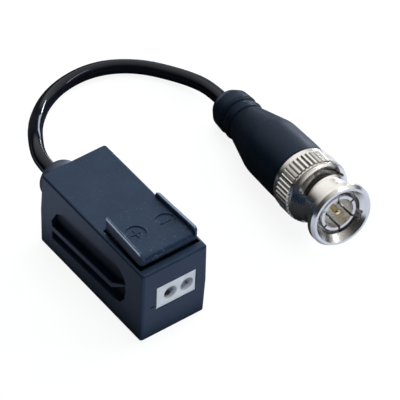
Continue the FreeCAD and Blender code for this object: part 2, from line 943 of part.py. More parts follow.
def clamp_parts():
    """In each cell a contact strip under the wire, and a leaf spring that presses down on it."""
    front = worked(cell(CELL_FRONT))
    back = front + size("cell_depth")
    strip = size("contact_strip")
    leaf = size("spring_strip")
    bed = size("cell_floor") + strip
    pin_y = worked(cell(PIN_PLACE))
    for side, place in plunger_places().items():
        middle = size(place)
        plate = Part.makeBox(
            size("contact_width"),
            size("cell_depth") - 2 * size("contact_end_gap"),
            strip,
            Vector(
                middle - size("contact_width") / 2,
                front + size("contact_end_gap"),
                size("cell_floor"),
            ),
        )
        foot = size("board_top") - size("board_thick") - size("pin_reach")
        pin = Part.makeBox(
            size("pin_width"),
            strip,
            size("cell_floor") + strip - foot,
            Vector(middle - size("pin_width") / 2, pin_y - strip / 2, foot),
        )
        finish(f"wire_contact_{side}", part_feature(f"contact_{side}", plate.fuse(pin)))
        low = bed + leaf / 2 + size("seat_gap")
        high = size("spring_top") - leaf / 2
        rear = back - size("spring_back_gap")
        points = [
            (front + size("spring_bed_start"), low),
            (back - size("spring_heel"), low),
            (rear, low + size("spring_bend")),
            (rear, high - size("spring_crook")),
            (back - size("spring_top_end"), high),
            (front + size("spring_nose"), high),
            (front + size("spring_tip"), high - size("spring_tip_drop")),
            (front + size("spring_jaw"), low + size("spring_jaw_rise")),
            (front + size("spring_mouth"), low + size("spring_crook")),
        ]
        spring = bent_strip(f"spring_{side}", points, leaf, size("spring_width"), middle)
        finish(f"clamp_spring_{side}", spring)


# Circuit board and its components


def circuit_board():
    blank = block(
        "board_blank",
        (f"-({BOARD_HALF})", f"{FRONT_INNER} + board_front_gap", "board_top - board_thick"),
        (BOARD_HALF, BOARD_BACK, "board_top"),
    )
    holes = []
    for side, place in plunger_places().items():
        holes.append(
            rod(
                f"pin_hole_{side}",
                "pin_width / 2 + pin_hole_gap",
                (place, PIN_PLACE, "0"),
                "board_top + 1",
            )
        )
    for side, sign in (("left", "-"), ("right", "")):
        holes.append(
            rod(
                f"lead_hole_{side}",
                "lead_radius + lead_hole_gap",
                (f"{sign}lead_x", LEAD_PLACE, "0"),
                "board_top + 1",
            )
        )
    finish("circuit_board", cut("circuit_board", blank, *holes))


def board_spare():
    """The free length between chips, suppressor, core and leads, shared evenly by three gaps."""
    row = worked(cell(f"{LEAD_PLACE} - lead_radius - lead_hole_gap - ({CHIP_REAR})"))
    return (row - worked(cell(f"suppressor_width + 2 * ({CORE_REACH})"))) / 3


def transformer():
    outer, inner = size("core_outer"), size("core_inner")
    reach = worked(cell(CORE_REACH))
    core_y = worked(cell(f"{LEAD_PLACE} - lead_radius - lead_hole_gap")) - board_spare() - reach
    tall = size("core_height")
    low = size("board_top") + size("core_lift")
    ring = turned(
        "core_ring",
        [
            ("core_inner", "board_top + core_lift"),
            ("core_outer", "board_top + core_lift"),
            ("core_outer", "board_top + core_lift + core_height"),
            ("core_inner", "board_top + core_lift + core_height"),
        ],
    )
    finish("toroid_core", ring, Placement(Vector(0, core_y, 0), Rotation()))
    wire = size("wire_thick")
    gap = size("wire_gap")
    turns = int(size("winding_turns"))
    middle = Vector(0, core_y, 0)
    spread, first = size("winding_angle"), size("winding_first_angle")
    for name, start in (("line_winding", first), ("coax_winding", first + 180.0)):
        turn_shapes = []
        for number in range(turns):
            angle = start + spread * number / (turns - 1)
            around = Part.makeBox(
                outer - inner + 2 * (gap + wire),
                wire,
                tall + 2 * (gap + wire),
                Vector(inner - gap - wire, -wire / 2, low - gap - wire),
            )
            window = Part.makeBox(
                outer - inner + 2 * gap,
                3 * wire,
                tall + 2 * gap,
                Vector(inner - gap, -1.5 * wire, low - gap),
            )
            one = around.cut(window)
            one.Placement = Placement(middle, Rotation(Vector(0, 0, 1), angle))
            turn_shapes.append(one)
        finish(name, part_feature(name, Part.makeCompound(turn_shapes)))


def chip_group(name, places):
    """Small surface parts on the board: a ceramic body between two metal end caps."""
    long, wide, tall = size("chip_length"), size("chip_width"), size("chip_height")
    top = size("board_top")
    chips = []
    for x, y in places:
        middle = Vector(x - long / 2, y - wide / 2, top)
        chip = Part.makeBox(long, wide, tall, middle)
        dip = size("chip_dip")
        inset = Part.makeBox(long / 2, wide, dip, middle + Vector(long / 4, 0, tall - dip))
        chips.append(chip.cut(inset))
    finish(name, part_feature(name, Part.makeCompound(chips)))


def small_components():
    row = worked(cell(f"({CHIP_FRONT} + {CHIP_REAR}) / 2"))
    for name, middle in (("matching_capacitors", "capacitor_x"), ("matching_resistors", "resistor_x")):
        apart = size("chip_pitch") / 2
        chip_group(name, [(size(middle) - apart, row), (size(middle) + apart, row)])
    front = f"{CHIP_REAR} + {board_spare()}"
    suppressor = block(
        "suppressor_blank",
        ("suppressor_x - suppressor_length / 2", front, "board_top"),
        (
            "suppressor_x + suppressor_length / 2",
            f"{front} + suppressor_width",
            "board_top + suppressor_height",
        ),
    )
    finish("surge_suppressor", suppressor)


# Strain relief, leads and cable


def cable_gland():
    owner = turned(
        "gland_turned",
        [
            ("0", "-back_wall - gland_flange_thick - gland_gap"),
            ("gland_flange", "-back_wall - gland_flange_thick - gland_gap"),
            ("gland_flange", "-back_wall - gland_gap"),
            ("gland_neck", "-back_wall - gland_gap"),
            ("gland_neck", "gland_gap"),
            ("gland_radius", "gland_gap"),
            ("gland_radius", "gland_length"),
            ("0", "gland_length"),
        ],
    )
    test = is_ring_at(size("gland_radius"), size("gland_length"))
    round_edges(owner, "gland_dome", test, "gland_length - gland_straight - gland_dome_flat")
    owner.Placement = Placement(
        Vector(0, size("box_length") / 2, size("gland_height")),
        Rotation(Vector(0, 0, 1), Vector(0, 1, 0)),
    )
    finish("cable_gland", owner)


ARC_SHARE = 0.45


def arc_path(points):
    """Straight runs joined by tangent arcs, each arc as large as its two runs allow."""
    edges = []
    radii = []
    start = points[0]
    for before, corner, after in zip(points, points[1:], points[2:]):
        back, ahead = before - corner, after - corner
        shorter = min(back.Length, ahead.Length)
        half_turn = (math.pi - back.getAngle(ahead)) / 2
        reach = ARC_SHARE * shorter
        radii.append(reach / math.tan(half_turn))
        back.normalize()
        ahead.normalize()
        enter = corner + back * reach
        leave = corner + ahead * reach
        inward = (back + ahead).normalize()
        hub = corner + inward * (radii[-1] / math.cos(half_turn))
        middle = hub - inward * radii[-1]
        edges.append(Part.LineSegment(start, enter).toShape())
        edges.append(Part.Arc(enter, middle, leave).toShape())
        start = leave
    edges.append(Part.LineSegment(start, points[-1]).toShape())
    return Part.Wire(edges), radii


def tube_along(points, radius, name):
    """A round tube along a path, with its volume compared with its section times its length."""
    path, radii = arc_path(points)
    direction = points[1] - points[0]
    section = Part.Wire(Part.makeCircle(radius, points[0], direction))
    solid = path.makePipeShell([section], True, True)
    expected = math.pi * radius**2 * path.Length
    print(
        f"{name}: length {path.Length:.1f}, volume / (section x length) "
        f"{solid.Volume / expected:.4f}, radii {[round(r, 1) for r in radii]}"
    )
    return part_feature(name, solid)


def plug_frame():
    """Place and direction of the plug's axis, which runs back from its front."""
    yaw, pitch = math.radians(size("plug_yaw")), math.radians(size("plug_pitch"))
    backward = Vector(
        math.sin(yaw) * math.cos(pitch),
        math.cos(yaw) * math.cos(pitch),
        -math.sin(pitch),
    )
    across = Vector(0, 0, 1).cross(backward).normalize()
    upward = backward.cross(across)
    turn = Rotation(across, upward, backward, "ZXY")
    return Placement(Vector(size("plug_x"), size("plug_y"), size("plug_z")), turn), backward


def cables(frame, backward):
    gland_tip = Vector(0, size("box_length") / 2 + size("gland_length"), size("gland_height"))
    tail = frame.multVec(Vector(0, 0, size("tail_end")))
    route = [
        gland_tip,
        Vector(0.0, 27.8, 9.13),
        Vector(0.9, 31.3, 9.0),
        Vector(3.3, 35.5, 8.1),
        Vector(6.2, 39.7, 6.1),
        Vector(9.8, 44.0, 3.8),
        Vector(14.5, 48.2, 2.3),
        Vector(20.3, 51.0, 1.7),
        Vector(27.0, 51.7, 1.65),
        Vector(33.2, 50.1, 1.65),
        Vector(38.6, 46.4, 1.65),
        Vector(42.8, 40.9, 1.65),
        Vector(45.3, 35.3, 2.3),
        tail + backward * size("tail_run"),
        tail,
    ]
    finish("pigtail_cable", tube_along(route, size("cable_radius"), "pigtail_cable"))
    inside = size("box_length") / 2 - size("back_wall") - size("gland_gap")
    inside -= size("gland_flange_thick")
    hole_y = worked(cell(LEAD_PLACE))
    high, top = size("gland_height"), size("board_top")
    reach = size("lead_reach")
    for name, x in (("core_lead", -size("lead_x")), ("shield_lead", size("lead_x"))):
        near = x * size("lead_start")
        lead = [
            Vector(near, inside - size("seat_gap"), high),
            Vector(near, inside - size("lead_run"), high),
            Vector(x * size("lead_spread"), hole_y + reach, top + size("lead_drop")),
            Vector(x, hole_y, top + reach),
            Vector(x, hole_y, top - size("board_thick") - reach),
        ]
        finish(name, tube_along(lead, size("lead_radius"), name))


# Plug


RAMP_STEPS = 12
SLITS = 3
RING_FRONT = "body_flange_front + body_flange_thick + washer_dish + washer_strip + 2 * turn_gap"
RING_BACK = f"{RING_FRONT} + ring_thick"
FERRULE_FRONT = "barrel_back + ferrule_gap"
FERRULE_BACK = f"{FERRULE_FRONT} + ferrule_length"


def coupling_nut(frame):
    owner = turned(
        "nut_turned",
        [
            ("mouth_radius", "nut_lip"),
            ("flange_radius - 2 * nut_bevel", "nut_lip"),
            ("flange_radius", "flange_front"),
            ("flange_radius", "flange_back"),
            ("flange_radius - nut_bevel", "flange_back + nut_bevel"),
            ("sleeve_radius", "sleeve_front"),
            ("sleeve_radius", "shoulder_front"),
            ("nut_radius - nut_bevel", "shoulder_back"),
            ("nut_radius", "groove_place - groove_width / 2"),
            ("nut_radius - nut_bevel", "groove_place - groove_width / 2"),
            ("nut_radius - nut_bevel", "groove_place + groove_width / 2"),
            ("nut_radius", "groove_place + groove_width / 2"),
            ("nut_radius", "knurl_back"),
            ("band_radius", "knurl_back + nut_bevel"),
            ("band_radius", "nut_back - nut_bevel"),
            ("band_radius - nut_bevel", "nut_back"),
            ("nut_cavity", "nut_back"),
            ("nut_cavity", f"{RING_BACK} + dish_gap"),
            ("ring_groove", f"{RING_BACK} + dish_gap"),
            ("ring_groove", f"{RING_FRONT} - dish_gap"),
            ("nut_cavity", f"{RING_FRONT} - dish_gap"),
            ("nut_cavity", "bore_back"),
            ("bore_radius", "bore_back"),
            ("bore_radius", "mouth_depth"),
        ],
    )
    round_edges(
        owner,
        "nut_shoulder",
        is_ring_at(size("nut_radius") - size("nut_bevel"), size("shoulder_back")),
        "nut_round",
    )
    whole = join("nut_whole", owner, knurl_ring())
    nut = cut("coupling_nut", whole, *bayonet_slots())
    finish("coupling_nut", nut, frame)


def knurl_ring():
    """Straight ribs round the nut, as one star-shaped ring."""
    ribs = int(size("knurl_count"))
    root = size("nut_radius") - size("seat_gap")
    crest = size("nut_radius") + size("knurl_height")
    flat = size("knurl_flat")
    corners = []
    for rib in range(ribs):
        for share, radius in ((0.0, root), (0.5 - flat / 2, crest), (0.5 + flat / 2, crest)):
            angle = 2 * math.pi * (rib + share) / ribs
            corners.append(
                Vector(radius * math.cos(angle), radius * math.sin(angle), size("knurl_front"))
            )
    star = Part.Face(Part.makePolygon(corners + [corners[0]]))
    tall = size("knurl_back") - size("knurl_front")
    inside = size("nut_radius") - size("nut_bevel")
    core = Part.makeCylinder(inside, tall, Vector(0, 0, size("knurl_front")))
    return part_feature("knurl_ring", star.extrude(Vector(0, 0, tall)).cut(core))


def bayonet_slots():
    """Two entry slots and curved ramps, opposite each other, each ending in a round seat."""
    half = size("slot_width") / 2
    reach = size("slot_reach")
    start, end = size("ramp_start_angle"), size("ramp_end_angle")
    low = size("ramp_front")
    rise = size("ramp_rise")
    radius = (size("bore_radius") + reach) / 2
    deep = reach - size("bore_radius") + 1.0
    inner = size("bore_radius") / 2
    slots = []
    for number, facing in enumerate((size("slot_angle"), size("slot_angle") + 180.0)):
        entry = Part.makeBox(
            size("entry_reach") - inner,
            2 * half,
            size("slot_depth") + 1.0,
            Vector(inner, -half, -1.0),
        )
        entry.Placement = Placement(
            Vector(), Rotation(Vector(0, 0, 1), facing + size("slot_turn_angle"))
        )
        pieces = [entry]
        rings = []
        for step in range(RAMP_STEPS + 1):
            share = step / RAMP_STEPS
            angle = math.radians(facing + start + (end - start) * share)
            place = low + half + rise * share
            out = Vector(math.cos(angle), math.sin(angle), 0)
            corners = []
            for across, along in ((-0.5, -half), (0.5, -half), (0.5, half), (-0.5, half)):
                corners.append(out * (radius + across * deep) + Vector(0, 0, place + along))
            rings.append(Part.makePolygon(corners + [corners[0]]))
        pieces.append(Part.makeLoft(rings, True, True))
        seat_angle = math.radians(facing + end)
        seat = Part.makeCylinder(
            half + size("ramp_seat_gap"),
            reach - inner,
            Vector(inner * math.cos(seat_angle), inner * math.sin(seat_angle), low + half + rise),
            Vector(math.cos(seat_angle), math.sin(seat_angle), 0),
        )
        pieces.append(seat)
        shape = pieces[0].multiFuse(pieces[1:])
        slots.append(part_feature(f"bayonet_slot_{number}", shape))
    return slots


def plug_body(frame):
    owner = turned(
        "contact_turned",
        [
            ("finger_bore", "finger_front"),
            ("finger_radius", "finger_front"),
            ("finger_radius + finger_bulge", "finger_front + finger_lead_in"),
            ("finger_radius + finger_bulge", "finger_front + bulge_end"),
            ("finger_radius", "finger_front + bulge_fade"),
            ("finger_radius", "body_flange_front"),
            ("body_flange", "body_flange_front"),
            ("body_flange", "body_flange_front + body_flange_thick"),
            ("barrel_radius", "body_flange_front + body_flange_thick"),
            ("barrel_radius", "barrel_back"),
            ("spigot_radius", "barrel_back"),
            ("spigot_radius", "spigot_back"),
            ("spigot_bore", "spigot_back"),
            ("spigot_bore", "insulator_back"),
            ("finger_bore", "insulator_back"),
        ],
    )
    slits = []
    for number in range(SLITS):
        slit = Part.makeBox(
            2 * size("body_flange"),
            size("slit_width"),
            size("slit_depth") + 1.0,
            Vector(-size("body_flange"), -size("slit_width") / 2, size("finger_front") - 1.0),
        )
        turn = Rotation(Vector(0, 0, 1), 180.0 * (number + 0.5) / SLITS)
        slit.Placement = Placement(Vector(), turn)
        slits.append(part_feature(f"finger_slit_{number}", slit))
    finish("plug_body", cut("plug_body", owner, *slits), frame)


def plug_inside(frame):
    """Insulator, centre pin, gasket, spring washer, retaining ring and crimp ferrule."""
    insulator = turned(
        "insulator_turned",
        [
            ("pin_shank + seat_gap", "insulator_front"),
            ("finger_bore - seat_gap", "insulator_front"),
            ("finger_bore - seat_gap", "insulator_back - seat_gap"),
            ("pin_shank + seat_gap", "insulator_back - seat_gap"),
        ],
    )
    finish("dielectric", insulator, frame)
    pin = turned(
        "pin_turned",
        [
            ("0", "pin_front"),
            ("pin_radius", "pin_front"),
            ("pin_radius", "insulator_front"),
            ("pin_shank", "insulator_front"),
            ("pin_shank", "pin_back"),
            ("0", "pin_back"),
        ],
    )
    round_edges(pin, "pin_tip", is_ring_at(size("pin_radius"), size("pin_front")), "pin_round")
    finish("centre_pin", pin, frame)
    gasket = turned(
        "gasket_turned",
        [
            ("finger_radius + seat_gap", "body_flange_front - gasket_thick - seat_gap"),
            ("bore_radius - turn_gap", "body_flange_front - gasket_thick - seat_gap"),
            ("bore_radius - turn_gap", "body_flange_front - seat_gap"),
            ("finger_radius + seat_gap", "body_flange_front - seat_gap"),
        ],
    )
    finish("face_gasket", gasket, frame)
    dish = "body_flange_front + body_flange_thick + dish_gap"
    washer = turned(
        "washer_turned",
        [
            ("barrel_radius + turn_gap", f"{dish} + washer_dish"),
            ("body_flange", dish),
            ("body_flange", f"{dish} + washer_strip"),
            ("barrel_radius + turn_gap", f"{dish} + washer_dish + washer_strip"),
        ],
    )
    finish("spring_washer", washer, frame)
    ring = turned(
        "ring_turned",
        [
            ("barrel_radius + turn_gap", RING_FRONT),
            ("ring_groove - dish_gap", RING_FRONT),
            ("ring_groove - dish_gap", RING_BACK),
            ("barrel_radius + turn_gap", RING_BACK),
        ],
    )
    finish("retaining_ring", ring, frame)
    inside = "spigot_radius + braid_thick"
    ferrule = turned(
        "ferrule_turned",
        [
            (inside, FERRULE_FRONT),
            (f"{inside} + ferrule_wall", FERRULE_FRONT),
            (f"{inside} + ferrule_wall", FERRULE_BACK),
            (inside, FERRULE_BACK),
        ],
    )
    finish("crimp_ferrule", ferrule, frame)


def plug_boot(frame):
    """The moulded boot: a barrel, a rounded shoulder, and a ringed tail that lets the cable bend."""
    groove = "tail_ring_place - tail_groove_front"
    second = "tail_ring_place + tail_groove_back"
    ferrule_room = "spigot_radius + braid_thick + ferrule_wall + seat_gap"
    owner = turned(
        "boot_turned",
        [
            ("barrel_radius + seat_gap", "boot_front"),
            ("boot_radius - boot_lip", "boot_front"),
            ("boot_radius", "boot_front + boot_lip_length"),
            ("boot_radius", "boot_front + boot_straight"),
            ("boot_shoulder_radius", "boot_shoulder"),
            ("boot_neck_radius", "boot_neck"),
            ("tail_groove_radius", groove),
            ("tail_groove_radius", f"{groove} + tail_groove_width"),
            ("tail_ring_radius", "tail_ring_place"),
            ("tail_groove_radius", f"{second} - tail_groove_width / 2"),
            ("tail_groove_radius", f"{second} + tail_groove_width / 2"),
            ("tail_ring_radius", f"{second} + tail_ring_rise"),
            ("tail_ring_radius - tail_taper", "tail_round_start"),
            ("tail_end_radius + tail_tip_width", "tail_end - tail_tip_length"),
            ("tail_end_radius", "tail_end"),
            ("0", "tail_end"),
            ("0", f"{FERRULE_BACK} + ferrule_gap"),
            (ferrule_room, f"{FERRULE_BACK} + ferrule_gap"),
            (ferrule_room, "barrel_back + seat_gap"),
            ("barrel_radius + seat_gap", "barrel_back + seat_gap"),
        ],
    )
    shoulder = is_ring_at(size("boot_shoulder_radius"), size("boot_shoulder"))
    round_edges(owner, "boot_shoulder_round", shoulder, "shoulder_round")
    finish("plug_boot", owner, frame)


def build():
    cutters = grip_cutters()
    window = terminal_window()
    bore = gland_bore()
    upper_shell(cutters, window, bore)
    lower_shell(cutters, window, bore)
    press_button()
    terminal_block()
    clamp_parts()
    circuit_board()
    transformer()
    small_components()
    cable_gland()
    frame, backward = plug_frame()
    cables(frame, backward)
    coupling_nut(frame)
    plug_body(frame)
    plug_inside(frame)
    plug_boot(frame)


def check_and_write():
    """Stop on any failed object, then write each sub-part's solid."""
    doc.recompute()
    for item in doc.Objects:
        if "Invalid" in item.State or "Error" in item.State:
            raise RuntimeError(f"{item.Label} failed: {item.State}")
    os.makedirs("parts", exist_ok=True)
    for name, item in finished.items():
        shape = item.Shape
        if shape.isNull() or not shape.isValid():
            raise RuntimeError(f"{name} has no valid shape")
        shape.exportStep(f"parts/{name}.step")
        box = shape.BoundBox
        print(
            f"{name}: solids {len(shape.Solids)}, volume {shape.Volume:.2f}, faces "
            f"{len(shape.Faces)}, z {box.ZMin:.2f} to {box.ZMax:.2f}"
        )


build()
check_and_write()
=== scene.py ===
"""Looks of a video balun: a small box with a push terminal, and a pigtail with a bayonet plug."""

import math

import bpy
from mathutils import Matrix, Vector


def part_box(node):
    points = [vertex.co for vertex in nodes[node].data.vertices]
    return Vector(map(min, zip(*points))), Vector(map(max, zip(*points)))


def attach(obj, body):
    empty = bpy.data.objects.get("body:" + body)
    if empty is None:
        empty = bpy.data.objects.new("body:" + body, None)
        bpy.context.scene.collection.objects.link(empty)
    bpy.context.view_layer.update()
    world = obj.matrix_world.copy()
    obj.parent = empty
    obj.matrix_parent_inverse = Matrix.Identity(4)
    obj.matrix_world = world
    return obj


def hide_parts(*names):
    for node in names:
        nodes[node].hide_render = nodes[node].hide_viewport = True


MM = 0.001
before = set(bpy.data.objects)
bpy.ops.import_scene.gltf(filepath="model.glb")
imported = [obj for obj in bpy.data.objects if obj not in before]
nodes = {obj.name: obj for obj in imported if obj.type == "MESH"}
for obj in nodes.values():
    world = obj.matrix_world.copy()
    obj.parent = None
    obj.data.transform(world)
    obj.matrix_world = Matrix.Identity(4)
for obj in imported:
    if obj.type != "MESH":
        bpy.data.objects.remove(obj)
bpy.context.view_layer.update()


def point(x, y, z):
    """A place given in millimetres."""
    return Vector((x, y, z)) * MM


def frame_at(place, *axes):
    """The matrix of a frame that has its origin at a place, from its three axes."""
    return Matrix.Translation(place) @ Matrix(axes).transposed().to_4x4()


def new_object(name, data):
    """An object in the scene, made of a camera, a curve, a mesh or a lamp."""
    item = bpy.data.objects.new(name, data)
    bpy.context.scene.collection.objects.link(item)
    return item


# Camera, fitted to the box's edges in the photograph

CAMERA_PLACE = point(-347.77, -454.23, 599.13)
CAMERA_AIM = Vector((0.44285, 0.54770, -0.70986)).normalized()
CAMERA_TOP = Vector((0.40665, 0.59206, 0.69577))

camera_data = bpy.data.cameras.new("camera")
camera_data.lens = 364.6
camera_data.sensor_width = 36.0
camera_data.clip_start = 0.05
camera_data.clip_end = 20.0
camera = new_object("camera", camera_data)
bpy.context.scene.camera = camera
to_the_right = CAMERA_AIM.cross(CAMERA_TOP).normalized()
camera.matrix_world = frame_at(
    CAMERA_PLACE, to_the_right, to_the_right.cross(CAMERA_AIM), -CAMERA_AIM
)

# Pigtail, and the frame of the plug at its end. The cable's thickness is its points' radius.

PLUG_FRONT = point(40.38, -20.88, 10.83)
PLUG_YAW = math.radians(5.95)
PLUG_PITCH = math.radians(8.2)
plug_axis = Vector(
    (
        math.sin(PLUG_YAW) * math.cos(PLUG_PITCH),
        math.cos(PLUG_YAW) * math.cos(PLUG_PITCH),
        -math.sin(PLUG_PITCH),
    )
)
plug_across = Vector((0, 0, 1)).cross(plug_axis).normalized()
plug_frame = frame_at(PLUG_FRONT, plug_across, plug_axis.cross(plug_across), plug_axis)

TAIL_END = 47.0 * MM
CABLE_DIAMETER = 3.2 * MM
tail = PLUG_FRONT + plug_axis * TAIL_END
ROUTE = [
    point(0.0, 24.75, 9.13),
    point(0.0, 27.8, 9.13),
    point(0.9, 31.3, 9.0),
    point(3.3, 35.5, 8.1),
    point(6.2, 39.7, 6.1),
    point(9.8, 44.0, 3.8),
    point(14.5, 48.2, 2.3),
    point(20.3, 51.0, 1.7),
    point(27.0, 51.7, 1.65),
    point(33.2, 50.1, 1.65),
    point(38.6, 46.4, 1.65),
    point(42.8, 40.9, 1.65),
    point(45.3, 35.3, 2.3),
    tail + plug_axis * 4.8 * MM,
    tail,
]

cable_curve = bpy.data.curves.new("pigtail", "CURVE")
cable_curve.dimensions = "3D"
cable_curve.resolution_u = 16
cable_curve.bevel_depth = 1.0
cable_curve.bevel_resolution = 8
cable_curve.use_fill_caps = True
spline = cable_curve.splines.new("NURBS")
spline.points.add(len(ROUTE) - 1)
for control, place in zip(spline.points, ROUTE):
    control.co = (*place, 1.0)
    control.radius = CABLE_DIAMETER / 2
spline.order_u = 3
spline.use_endpoint_u = True
pigtail = new_object("pigtail", cable_curve)
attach(pigtail, "housing")
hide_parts("pigtail_cable")

# Shader nodes that the materials are made of


def add(tree, kind, sockets=None, **settings):
    """A new shader node, its inputs set to values or linked from other nodes' outputs."""
    item = tree.nodes.new("ShaderNode" + kind)
    for name, value in settings.items():
        setattr(item, name, value)
    for name, value in (sockets or {}).items():
        if isinstance(value, bpy.types.NodeSocket):
            tree.links.new(value, item.inputs[name])
        else:
            item.inputs[name].default_value = value
    return item


def reckon(tree, operation, *values):
    """The result of a Math node on one or two values."""
    return add(tree, "Math", dict(enumerate(values)), operation=operation).outputs["Value"]


def away_from(tree, value, middle):
    """How far a value lies from a middle, to either side."""
    return reckon(tree, "ABSOLUTE", reckon(tree, "SUBTRACT", value, middle))


def spread(tree, value, low, high, to_low=0.0, to_high=1.0):
    """A value taken from one range to another, and kept inside it."""
    sockets = {"Value": value, "From Min": low, "From Max": high}
    sockets.update({"To Min": to_low, "To Max": to_high})
    return add(tree, "MapRange", sockets).outputs["Result"]


def object_place(tree):
    """The place on the object, in metres."""
    return add(tree, "TexCoord").outputs["Object"]


def in_plug_frame(tree):
    """The place in metres in the plug's own frame, whose Z is the plug's axis."""
    turn = plug_frame.inverted()
    sockets = {"Location": turn.translation, "Rotation": turn.to_euler()}
    return add(tree, "Mapping", {"Vector": object_place(tree), **sockets}).outputs["Vector"]


def stretched(tree, place, scale):
    """A place scaled along its axes, so that noise there is drawn out."""
    return add(tree, "Mapping", {"Vector": place, "Scale": scale}).outputs["Vector"]


def axes_of(tree, place):
    """The X, Y and Z of a place."""
    return add(tree, "SeparateXYZ", {"Vector": place}).outputs


def length_of(tree, place):
    """How far a place lies from the origin."""
    return add(tree, "VectorMath", {0: place}, operation="LENGTH").outputs["Value"]


def noise(tree, place, grain, detail=2.0, roughness=0.5):
    """Noise whose lumps are about grain millimetres across."""
    sockets = {"Vector": place, "Scale": 1.0 / (grain * MM), "Detail": detail}
    sockets["Roughness"] = roughness
    return add(tree, "TexNoise", sockets).outputs["Fac"]


def blend(tree, share, first, second):
    """A colour between two, by a share from 0 to 1. Sockets 6 and 7 are the node's colours."""
    sockets = {0: share}
    for number, colour in ((6, first), (7, second)):
        linked = isinstance(colour, bpy.types.NodeSocket)
        sockets[number] = colour if linked else (*colour, 1.0)
    return add(tree, "Mix", sockets, data_type="RGBA").outputs[2]


def blend_value(tree, share, first, second):
    """A number between two, by a share from 0 to 1. Sockets 2 and 3 are the node's numbers."""
    return add(tree, "Mix", {0: share, 2: first, 3: second}, data_type="FLOAT").outputs[0]


def rounded(tree, radius):
    """The surface's normal with its sharp edges softened over a radius in millimetres."""
    return add(tree, "Bevel", {"Radius": radius * MM}, samples=6).outputs["Normal"]


def bump(tree, height, depth, strength, edge):
    """A normal with relief of depth millimetres from a height of 0 to 1, and softened edges."""
    sockets = {"Height": height, "Distance": depth * MM, "Strength": strength}
    return add(tree, "Bump", {"Normal": rounded(tree, edge), **sockets}).outputs["Normal"]


def toned(colour, factor):
    """A colour made darker or paler by a factor."""
    return tuple(factor * part for part in colour)


def material(name, **sockets):
    """A material with its tree, and its surface shader set to values."""
    item = bpy.data.materials.new(name)
    item.use_nodes = True
    tree = item.node_tree
    surface = tree.nodes["Principled BSDF"]
    for socket, value in sockets.items():
        surface.inputs[socket.replace("_", " ")].default_value = value
    return item, tree, surface


def put(tree, surface, **sockets):
    """Link the surface shader's inputs from other nodes' outputs."""
    for socket, value in sockets.items():
        tree.links.new(value, surface.inputs[socket.replace("_", " ")])


def dress(item, *names):
    """Give a material to CAD nodes or pieces."""
    for name in names:
        piece = nodes[name] if isinstance(name, str) else name
        piece.data.materials.clear()
        piece.data.materials.append(item)


# Places on the object where a material changes. A pair is where a change begins and ends.

BOX_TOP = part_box("upper_shell")[1].z
BOX_HALF_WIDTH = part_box("lower_shell")[1].x
BOX_TAPER = 0.2 * MM
RECESS_DEPTHS = (0.02 * MM, 0.4 * MM)
RECESS_REACH = 14.0 * MM
RECESS_HEAD = 17.5 * MM
RECESS_FOOT = 3.8 * MM
RECESS_FADE = 0.2 * MM

BUTTON_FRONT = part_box("press_button")[0].y
BUTTON_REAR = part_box("press_button")[1].y
BUTTON_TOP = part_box("press_button")[1].z
BUTTON_MIDDLE = -0.1 * MM
# The outer top edges of the button's rims, where a highlight is painted pale.
CREST_FRONT = 6.65 * MM
CREST_REAR = 6.2 * MM
CREST_WIDTH = 0.15 * MM
NO_HIGHLIGHT_BELOW = BUTTON_TOP - 0.3 * MM
FULL_HIGHLIGHT_ABOVE = BUTTON_TOP - 0.1 * MM

# The boot's two grooves, where shade is painted.
BOOT_GROOVES = (37.75 * MM, 40.5 * MM)
GROOVE_FADE = (0.2 * MM, 0.45 * MM)

# The knurl, at the foot of whose grooves shade is painted.
KNURL_MIDDLE = 12.33 * MM
KNURL_ENDS = (1.9 * MM, 2.0 * MM)
KNURL_FOOT = 7.12 * MM
KNURL_CREST = 7.34 * MM
KNURL_PAINTED_SHADE_SHARE = 0.85


def recess_painted_shade(tree):
    """From 0 on the box's faces to 1 deep in its grip recesses, where shade is painted: they are
    darker and duller.
    """
    along = axes_of(tree, object_place(tree))
    outward = reckon(tree, "ABSOLUTE", along["X"])
    face = spread(tree, along["Z"], 0.0, BOX_TOP, BOX_HALF_WIDTH, BOX_HALF_WIDTH - BOX_TAPER)
    depth = reckon(tree, "SUBTRACT", face, outward)
    share = spread(tree, depth, *RECESS_DEPTHS)
    lengthwise = reckon(tree, "ABSOLUTE", along["Y"])
    for place, end, fade in (
        (lengthwise, RECESS_REACH, RECESS_FADE),
        (along["Z"], RECESS_HEAD, RECESS_FADE),
        (along["Z"], RECESS_FOOT, -RECESS_FADE),
    ):
        inside = spread(tree, place, end - fade, end + fade, 1.0, 0.0)
        share = reckon(tree, "MULTIPLY", share, inside)
    return share


def crest_painted_highlight(tree):
    """From 0 to 1 at the outer top edges of the button's rims, where a highlight is painted pale.
    """
    along = axes_of(tree, object_place(tree))
    high = spread(tree, along["Z"], NO_HIGHLIGHT_BELOW, FULL_HIGHLIGHT_ABOVE)
    outward = away_from(tree, along["X"], BUTTON_MIDDLE)
    ridge = spread(tree, along["Y"], BUTTON_FRONT, BUTTON_REAR, CREST_FRONT, CREST_REAR)
    past = reckon(tree, "SUBTRACT", outward, ridge)
    return reckon(tree, "MULTIPLY", high, spread(tree, past, 0.0, CREST_WIDTH))


def boot_groove_painted_shade(tree):
    """From 0 to 1 in the two grooves round the boot's tail, where shade is painted dark."""
    along = axes_of(tree, in_plug_frame(tree))["Z"]
    first, second = BOOT_GROOVES
    off = away_from(tree, away_from(tree, along, (first + second) / 2), (second - first) / 2)
    return spread(tree, off, *GROOVE_FADE, 1.0, 0.0)


